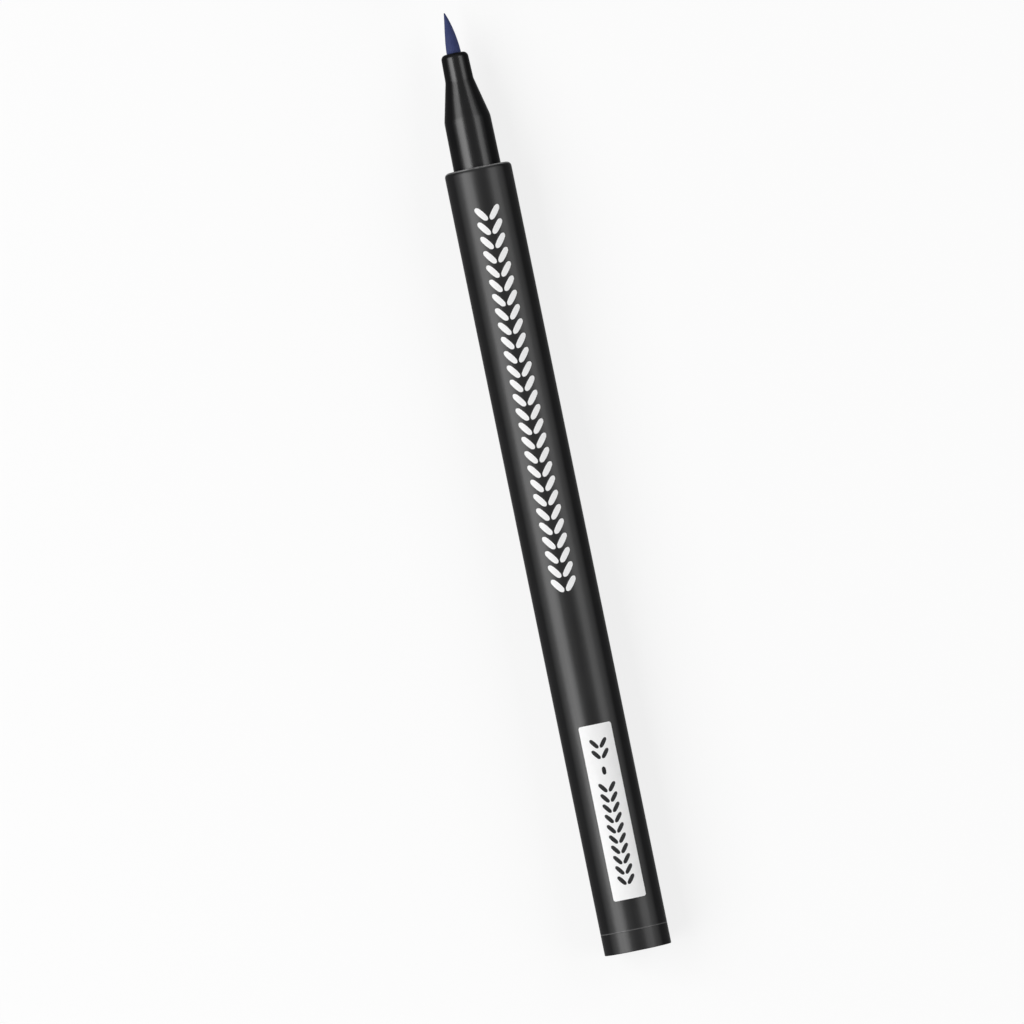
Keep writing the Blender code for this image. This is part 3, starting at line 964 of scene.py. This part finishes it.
class FABRICMARKER_OT_build_barrel(bpy.types.Operator):
    """Build the barrel and the tail plug"""

    bl_idname = "fabric_marker.build_barrel"
    bl_label = "Build barrel and plug"

    def execute(self, context):
        shape = context.scene.fabric_marker_shape
        finish = context.scene.fabric_marker_finish
        barrel_radius = BARREL_HIGH.y
        tank_radius = barrel_radius - shape.tank_wall
        barrel_corners = [
            (BARREL_HIGH.x, barrel_radius, shape.barrel_front_rounding),
            (BARREL_LOW.x, barrel_radius, shape.seam_rounding),
            (BARREL_LOW.x, tank_radius, 0),
            (shape.tank_front, tank_radius, 0),
            (shape.tank_front, shape.front_bore_radius, 0),
            (BARREL_HIGH.x, shape.front_bore_radius, 0),
        ]
        # A painted highlight along the barrel's rear edge where it meets the plug
        seam_highlight_line = (BARREL_LOW.x, finish.seam_highlight_width, finish.seam_highlight)
        material = outer_plastic("satin_black_barrel", finish, seam_highlight_line)
        barrel = turned_mesh("barrel_shell", barrel_corners, shape, closed=True)
        add_piece("barrel_shell", barrel, material, MARKER_BODY, ["barrel"])
        spigot_radius = tank_radius - shape.fit_gap
        spigot_bore_radius = spigot_radius - shape.spigot_wall
        flange_front = BARREL_LOW.x - shape.seam_gap
        plug_corners = gate_dish(PLUG_LOW.x, 1, shape)
        plug_corners += [
            (PLUG_LOW.x, barrel_radius, shape.tail_rounding),
            (flange_front, barrel_radius, shape.seam_rounding),
            (flange_front, spigot_radius, 0),
            (PLUG_HIGH.x, spigot_radius, 0),
            (PLUG_HIGH.x, spigot_bore_radius, 0),
            (flange_front, spigot_bore_radius, 0),
            (flange_front, 0, 0),
        ]
        plug_material = outer_plastic("satin_black_plug", finish)
        plug = turned_mesh("tail_plug_shell", plug_corners, shape, closed=False)
        add_piece("tail_plug_shell", plug, plug_material, MARKER_BODY, ["tail_plug"])
        return {"FINISHED"}


class FABRICMARKER_OT_build_section(bpy.types.Operator):
    """Build the stepped front section"""

    bl_idname = "fabric_marker.build_section"
    bl_label = "Build front section"

    def execute(self, context):
        shape = context.scene.fabric_marker_shape
        finish = context.scene.fabric_marker_finish
        seat_radius = shape.front_bore_radius - shape.fit_gap
        rear_bore_radius = seat_radius - shape.section_wall
        nib_hole_radius = -NIB_LOW.y + shape.fit_gap
        holder_bore_radius = nib_hole_radius + shape.holder_wall + shape.fit_gap
        bore_step = HOLDER_LOW.x + shape.holder_flange_length + shape.seat_gap
        lip = SECTION_HIGH.x - shape.lip_length
        grip_front = BARREL_HIGH.x + shape.grip_length
        corners = [
            (SECTION_HIGH.x, shape.neck_front_radius, shape.neck_end_rounding),
            (grip_front + shape.cone_length, shape.neck_rear_radius, shape.cone_front_rounding),
            (grip_front, seat_radius - shape.grip_taper, shape.cone_rear_rounding),
            (BARREL_HIGH.x, seat_radius, 0),
            (SECTION_LOW.x, seat_radius, 0),
            (SECTION_LOW.x, rear_bore_radius, 0),
            (bore_step, rear_bore_radius, 0),
            (bore_step, holder_bore_radius, 0),
            (lip, holder_bore_radius, 0),
            (lip, nib_hole_radius, 0),
            (SECTION_HIGH.x, nib_hole_radius, 0),
        ]
        material = satin_plastic(
            "satin_black_section",
            finish.section_colour,
            finish.section_roughness,
            finish.section_grain,
            finish.section_gloss,
            finish.section_fade,
            finish.section_rim_wear_and_highlight_colour,
        )
        section = turned_mesh("front_section_shell", corners, shape, closed=True)
        nodes = ["front_section"]
        add_piece("front_section_shell", section, material, MARKER_BODY, nodes)
        return {"FINISHED"}


class FABRICMARKER_OT_build_nib(bpy.types.Operator):
    """Build the pointed brush nib with its ridges of fibre"""

    bl_idname = "fabric_marker.build_nib"
    bl_label = "Build brush nib"

    def execute(self, context):
        nib = context.scene.fabric_marker_nib
        finish = context.scene.fabric_marker_finish
        material = soaked_fibre("deep_blue_fibre", finish.ink_colour)
        mesh = nib_mesh("brush_nib_fibre", nib)
        add_piece("brush_nib_fibre", mesh, material, MARKER_BODY, ["brush_nib"])
        return {"FINISHED"}


class FABRICMARKER_OT_build_label(bpy.types.Operator):
    """Stick the white label on the barrel, with rows of black stitches"""

    bl_idname = "fabric_marker.build_label"
    bl_label = "Build label"

    def execute(self, context):
        prints = context.scene.fabric_marker_print
        finish = context.scene.fabric_marker_finish
        outer_radius = LABEL_HIGH.z - prints.ink_thickness
        turn_low = math.asin(LABEL_LOW.y / LABEL_HIGH.z)
        turn_high = math.asin(LABEL_HIGH.y / LABEL_HIGH.z)
        middle_turn = (turn_low + turn_high) / 2
        sheet = bmesh.new()
        curved_patch(
            sheet,
            ((LABEL_LOW.x + LABEL_HIGH.x) / 2, middle_turn),
            (LABEL_HIGH.x - LABEL_LOW.x, (turn_high - turn_low) * outer_radius),
            prints.label_corner_radius,
            (BARREL_HIGH.y - prints.sunk_depth, outer_radius),
        )
        paper = label_paper("label_paper", finish.label_colour)
        sticker = finished_mesh("label_sticker", sheet)
        add_piece("label_sticker", sticker, paper, MARKER_BODY, ["label"])

        film = (outer_radius - prints.sunk_depth, outer_radius + prints.ink_thickness)
        rear, front = LABEL_LOW.x + prints.label_margin, LABEL_HIGH.x - prints.label_margin
        long_front = rear + (front - rear) * prints.label_long_share
        short_rear = front - (front - rear) * prints.label_short_share
        stitches = bmesh.new()
        for row, count in (
            ((rear, long_front), prints.label_long_count),
            ((short_rear, front), prints.label_short_count),
        ):
            braid(stitches, row, count, middle_turn, prints, prints.label_stitch_share, film)
        dash_width = prints.stitch_width * prints.label_stitch_share
        dash = ((long_front + short_rear) / 2, middle_turn)
        dash_size = (dash_width * DASH_LENGTH_SHARE, dash_width)
        dash_corner = dash_width * STITCH_CORNER_SHARE
        curved_patch(stitches, dash, dash_size, dash_corner, film, taper=prints.stitch_taper)
        dark_ink = printing_ink("dark_ink", finish.label_ink_colour, DARK_INK_ROUGHNESS)
        add_piece("label_stitches", finished_mesh("label_stitches", stitches), dark_ink, MARKER_BODY)
        return {"FINISHED"}


class FABRICMARKER_OT_print_stitches(bpy.types.Operator):
    """Print a white braid of stitches along the barrel"""

    bl_idname = "fabric_marker.print_stitches"
    bl_label = "Print stitches"

    def execute(self, context):
        prints = context.scene.fabric_marker_print
        finish = context.scene.fabric_marker_finish
        film = (BARREL_HIGH.y - prints.sunk_depth, BARREL_HIGH.y + prints.ink_thickness)
        row = (prints.row_start, prints.row_end)
        stitches = bmesh.new()
        braid(stitches, row, prints.stitch_count, prints.row_turn, prints, 1.0, film)
        white_ink = printing_ink("white_ink", finish.print_colour, WHITE_INK_ROUGHNESS)
        add_piece("barrel_stitches", finished_mesh("barrel_stitches", stitches), white_ink, MARKER_BODY)
        return {"FINISHED"}


class FABRICMARKER_OT_build_cap(bpy.types.Operator):
    """Build the cap and the liner inside it"""

    bl_idname = "fabric_marker.build_cap"
    bl_label = "Build cap and liner"

    def execute(self, context):
        shape = context.scene.fabric_marker_shape
        finish = context.scene.fabric_marker_finish
        mouth, end = CAP_LOW.x, CAP_HIGH.x
        cap_radius = CAP_HIGH.y
        bore_radius = cap_radius - shape.cap_wall
        cap_floor = end - shape.cap_end_wall
        cap_corners = gate_dish(end, -1, shape)
        cap_corners += [
            (end, cap_radius, shape.cap_end_rounding),
            (mouth, cap_radius, shape.cap_mouth_rounding),
            (mouth, bore_radius, shape.cap_mouth_rounding),
            (cap_floor, bore_radius, 0),
            (cap_floor, 0, 0),
        ]
        material = outer_plastic("satin_black_cap", finish)
        cap = turned_mesh("cap_shell", cap_corners, shape, closed=False)
        add_piece("cap_shell", cap, material, CAP_BODY, ["cap"])

        liner_radius = bore_radius - shape.fit_gap
        grip_bore_radius = shape.front_bore_radius - shape.fit_gap + shape.liner_running_gap
        chamber_radius = shape.neck_rear_radius + shape.liner_neck_gap
        tube_radius = chamber_radius + shape.liner_wall
        cone_rear = mouth + shape.grip_length + shape.liner_cone_lead
        cone_front = cone_rear + shape.cone_length
        liner_floor = LINER_HIGH.x - shape.liner_wall
        collar_rear = LINER_HIGH.x - shape.liner_collar_length
        liner_corners = [
            (LINER_HIGH.x, 0, 0),
            (LINER_HIGH.x, liner_radius, 0),
            (collar_rear, liner_radius, 0),
            (collar_rear, tube_radius, 0),
            (cone_front + shape.liner_seat_lead, tube_radius, 0),
            (cone_rear + shape.liner_seat_lead, liner_radius, 0),
            (LINER_LOW.x, liner_radius, 0),
            (LINER_LOW.x, grip_bore_radius, shape.liner_mouth_rounding),
            (cone_rear, grip_bore_radius, 0),
            (cone_front, chamber_radius, 0),
            (liner_floor, chamber_radius, 0),
            (liner_floor, 0, 0),
        ]
        liner_material = plain_plastic("grey_liner", finish.liner_colour, LINER_ROUGHNESS)
        liner = turned_mesh("cap_liner", liner_corners, shape, closed=False)
        add_piece("cap_liner", liner, liner_material, CAP_BODY, ["inner_cap"])
        return {"FINISHED"}


class FABRICMARKER_OT_finish_inside(bpy.types.Operator):
    """Give the pieces inside the marker their materials"""

    bl_idname = "fabric_marker.finish_inside"
    bl_label = "Finish inner pieces"

    def execute(self, context):
        finish = context.scene.fabric_marker_finish
        natural = plain_plastic("natural_plastic", finish.natural_colour, NATURAL_ROUGHNESS)
        wick = soaked_fibre("wick_fibre", finish.ink_colour)
        steel = polished_steel("ball_steel", finish.steel_colour)
        finishes = {
            "nib_holder": natural,
            "ink_collector": natural,
            "feed_wick": wick,
            "mixing_ball_1": steel,
            "mixing_ball_2": steel,
        }
        for name, material in finishes.items():
            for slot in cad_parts[name].material_slots:
                slot.material = material
        return {"FINISHED"}


class FABRICMARKER_OT_set_stage(bpy.types.Operator):
    """Lay the pale floor, hang the two long soft boxes and aim the camera straight down"""

    bl_idname = "fabric_marker.set_stage"
    bl_label = "Set the stage"

    def execute(self, context):
        scene = context.scene
        studio = scene.fabric_marker_studio
        scene.view_settings.view_transform = "Standard"
        lay_floor(scene, studio)
        light_world(scene, studio)
        key = (studio.key_angle, studio.key_width, studio.key_power)
        fill = (-studio.fill_angle, studio.fill_width, studio.fill_power)
        add_soft_box(scene, studio, "key_soft_box", *key)
        add_soft_box(scene, studio, "fill_soft_box", *fill)
        aim_camera(scene, studio)
        return {"FINISHED"}


class FABRICMARKER_PT_panel(bpy.types.Panel):
    """Lists the marker's sizes, colours and pieces"""

    bl_idname = "FABRICMARKER_PT_panel"
    bl_label = "Fabric Marker"
    bl_space_type = "VIEW_3D"
    bl_region_type = "UI"
    bl_category = "Marker"

    def draw(self, context):
        pieces = self.layout.column(align=True)
        for operator in OPERATORS:
            pieces.operator(operator.bl_idname)
        for scene_name, group in GROUPS.items():
            box = self.layout.box()
            box.label(text=group.__doc__)
            settings = getattr(context.scene, scene_name)
            for name in group.__annotations__:
                box.prop(settings, name)


def nib_mesh(name, nib):
    """The nib as rings along its centre line, full inside the neck and tapering to a bent point."""
    radius = -NIB_LOW.y
    facets = nib.fibre_count * FACETS_PER_FIBRE
    form = bmesh.new()
    rings = [[form.verts.new((NIB_LOW.x, 0, 0))]]
    for x in (NIB_LOW.x, SECTION_HIGH.x - nib.exposed_length * NIB_RUN_IN_SHARE):
        rings.append(nib_ring(form, x, 0, radius, 0, nib, facets))
    for ring in range(nib.rings + 1):
        along = ring / nib.rings
        x = SECTION_HIGH.x + nib.exposed_length * along
        bend = nib.tip_bend * along**nib.bend_power
        share = 1 - (1 - nib.tip_share) * along**nib.taper_power
        depth = nib.fibre_depth * min(1, share * RIDGE_GROWTH)
        rings.append(nib_ring(form, x, bend, radius * share, depth, nib, facets))
    rings.append([form.verts.new((SECTION_HIGH.x + nib.exposed_length, nib.tip_bend, 0))])
    for first, second in zip(rings, rings[1:]):
        join_rings(form, first, second)
    return finished_mesh(name, form)


def nib_ring(form, x, bend, radius, depth, nib, facets):
    """One ring of the nib. Two sets of ridges that drift against each other make the fibres uneven."""
    drift = (x - SECTION_HIGH.x) / nib.exposed_length
    coarse_count = round(nib.fibre_count * COARSE_RIDGE_COUNT_SHARE)
    points = []
    for facet in range(facets):
        turn = 2 * math.pi * facet / facets
        fine_turn = nib.fibre_count * turn + FINE_RIDGE_DRIFT * drift
        coarse_turn = coarse_count * turn + COARSE_RIDGE_DRIFT * drift + COARSE_RIDGE_TURN
        ridges = RIDGE_MEAN_SHARE + FINE_RIDGE_SHARE * math.cos(fine_turn)
        ridges += COARSE_RIDGE_SHARE * math.cos(coarse_turn)
        reach = radius * (1 - depth * ridges)
        points.append(form.verts.new((x, bend + reach * math.sin(turn), reach * math.cos(turn))))
    return points


def braid(form, row, count, middle_turn, prints, size_share, film):
    """Add pairs of slanted stitches in a row along X, each pair a V that opens towards the nib."""
    start, end = row
    length, width = prints.stitch_length * size_share, prints.stitch_width * size_share
    reach = (length - width) * math.cos(prints.stitch_slant) + width
    sideways_reach = (length - width) * math.sin(prints.stitch_slant) + width
    offset = (sideways_reach + prints.stitch_gap * size_share) / 2
    pitch = (end - start - reach) / (count - 1)
    for index in range(count):
        x = start + reach / 2 + index * pitch
        for side in (-1, 1):
            place = (x, middle_turn + side * offset / film[1])
            slant = side * prints.stitch_slant
            corner = width * STITCH_CORNER_SHARE
            curved_patch(form, place, (length, width), corner, film, slant, prints.stitch_taper)


def lay_floor(scene, studio):
    """A wide floor that is white to the eye, and keeps a soft shadow near the marker."""
    form = bmesh.new()
    half = studio.floor_size / 2
    low = CAD_BOUNDS[0].z
    corners = ((-half, -half, low), (half, -half, low), (half, half, low), (-half, half, low))
    form.faces.new([form.verts.new(corner) for corner in corners])
    mesh = bpy.data.meshes.new("floor")
    form.to_mesh(mesh)
    form.free()
    floor = bpy.data.objects.new("floor", mesh)
    scene.collection.objects.link(floor)
    mesh.materials.append(floor_material(studio))


def floor_material(studio):
    """A pale matt floor with a glow that only the eye sees, and plain white far from the marker."""
    material, shader = new_material("pale_floor")
    seen = seen_ray(material)
    inputs = {
        "Base Color": (*studio.floor_colour, 1),
        "Roughness": 1.0,
        "Specular IOR Level": 0.0,
        "Emission Color": WHITE,
        "Emission Strength": calculate(material, "MULTIPLY", seen, studio.floor_glow),
    }
    set_inputs(material, shader, inputs)
    white = add_node(material, "ShaderNodeEmission", {"Color": WHITE, "Strength": seen})
    place = add_node(material, "ShaderNodeTexCoord").outputs["Object"]
    distance = add_node(material, "ShaderNodeVectorMath", {0: place}, operation="LENGTH")
    far = spread(material, distance.outputs["Value"], FLOOR_FADE_SPAN, (0, 1), "SMOOTHSTEP")
    blend_inputs = {"Fac": far, 1: shader.outputs["BSDF"], 2: white.outputs["Emission"]}
    blend = add_node(material, "ShaderNodeMixShader", blend_inputs)
    output = material.node_tree.nodes["Material Output"]
    set_inputs(material, output, {"Surface": blend.outputs["Shader"]})
    return material


def seen_ray(material):
    """1 for rays that the camera, a gloss or a clear piece sends, and 0 for the rest."""
    rays = add_node(material, "ShaderNodeLightPath").outputs
    glossy = calculate(material, "MAXIMUM", rays["Is Camera Ray"], rays["Is Glossy Ray"])
    return calculate(material, "MAXIMUM", glossy, rays["Is Transmission Ray"])


def light_world(scene, studio):
    """White walls all round and a dim ceiling."""
    world = bpy.data.worlds.new("studio_world")
    world.use_nodes = True
    scene.world = world
    height = along_axis(world, "Generated", "Z")
    brightness = spread(world, height, WALL_FADE_SPAN, (1, studio.ceiling_strength), "SMOOTHSTEP")
    background = world.node_tree.nodes["Background"]
    set_inputs(world, background, {"Color": WHITE, "Strength": brightness})


def add_soft_box(scene, studio, name, angle, width, power):
    """A long soft box parallel to the marker, tilted from straight up towards +Y by the angle."""
    light = bpy.data.lights.new(name, "AREA")
    light.shape = "RECTANGLE"
    light.size = studio.lamp_length
    light.size_y = width
    light.energy = power
    lamp = bpy.data.objects.new(name, light)
    scene.collection.objects.link(lamp)
    outwards = Vector((0, math.sin(angle), math.cos(angle)))
    along = Vector((1, 0, 0))
    across = outwards.cross(along)
    turn = Matrix((along, across, outwards)).transposed().to_4x4()
    middle = (PLUG_LOW.x + NIB_HIGH.x) / 2
    place = Vector((middle, 0, 0)) + outwards * studio.lamp_distance
    lamp.matrix_world = Matrix.Translation(place) @ turn
    lamp.visible_camera = False


def aim_camera(scene, studio):
    """Look straight down at the label's side, turned and placed as the photograph shows the marker."""
    across = Vector((-math.sin(studio.lean), -math.cos(studio.lean), 0))
    upwards = Vector((math.cos(studio.lean), -math.sin(studio.lean), 0))
    backwards = Vector((0, 0, 1))
    middle = PHOTO_WIDTH / 2
    tail = Vector((PLUG_LOW.x, 0, 0))
    place = tail - across * (TAIL_PIXEL[0] - middle) / PIXELS_PER_METRE
    place += upwards * (TAIL_PIXEL[1] - middle) / PIXELS_PER_METRE
    place += backwards * studio.camera_height
    data = bpy.data.cameras.new("camera")
    data.sensor_width = SENSOR_WIDTH
    data.lens = SENSOR_WIDTH * studio.camera_height * PIXELS_PER_METRE / PHOTO_WIDTH
    camera = bpy.data.objects.new("camera", data)
    scene.collection.objects.link(camera)
    turn = Matrix((across, upwards, backwards)).transposed().to_4x4()
    camera.matrix_world = Matrix.Translation(place) @ turn
    scene.camera = camera


GROUPS = {
    "fabric_marker_shape": MarkerShape,
    "fabric_marker_nib": MarkerNib,
    "fabric_marker_print": MarkerPrint,
    "fabric_marker_finish": MarkerFinish,
    "fabric_marker_studio": MarkerStudio,
}
OPERATORS = (
    FABRICMARKER_OT_build_barrel,
    FABRICMARKER_OT_build_section,
    FABRICMARKER_OT_build_nib,
    FABRICMARKER_OT_build_label,
    FABRICMARKER_OT_print_stitches,
    FABRICMARKER_OT_build_cap,
    FABRICMARKER_OT_finish_inside,
    FABRICMARKER_OT_set_stage,
)


def register():
    """Register every class and hang the groups of settings on the scene."""
    for group in (*GROUPS.values(), *OPERATORS, FABRICMARKER_PT_panel):
        bpy.utils.register_class(group)
    for name, group in GROUPS.items():
        setattr(bpy.types.Scene, name, PointerProperty(type=group))


def unregister():
    """Undo what register did."""
    for name in GROUPS:
        delattr(bpy.types.Scene, name)
    for group in reversed((*GROUPS.values(), *OPERATORS, FABRICMARKER_PT_panel)):
        bpy.utils.unregister_class(group)


def main():
    """Build every piece and the stage in order."""
    register()
    bpy.ops.fabric_marker.build_barrel()
    bpy.ops.fabric_marker.build_section()
    bpy.ops.fabric_marker.build_nib()
    bpy.ops.fabric_marker.build_label()
    bpy.ops.fabric_marker.print_stitches()
    bpy.ops.fabric_marker.build_cap()
    bpy.ops.fabric_marker.finish_inside()
    bpy.ops.fabric_marker.set_stage()


if __name__ == "__main__":
    main()
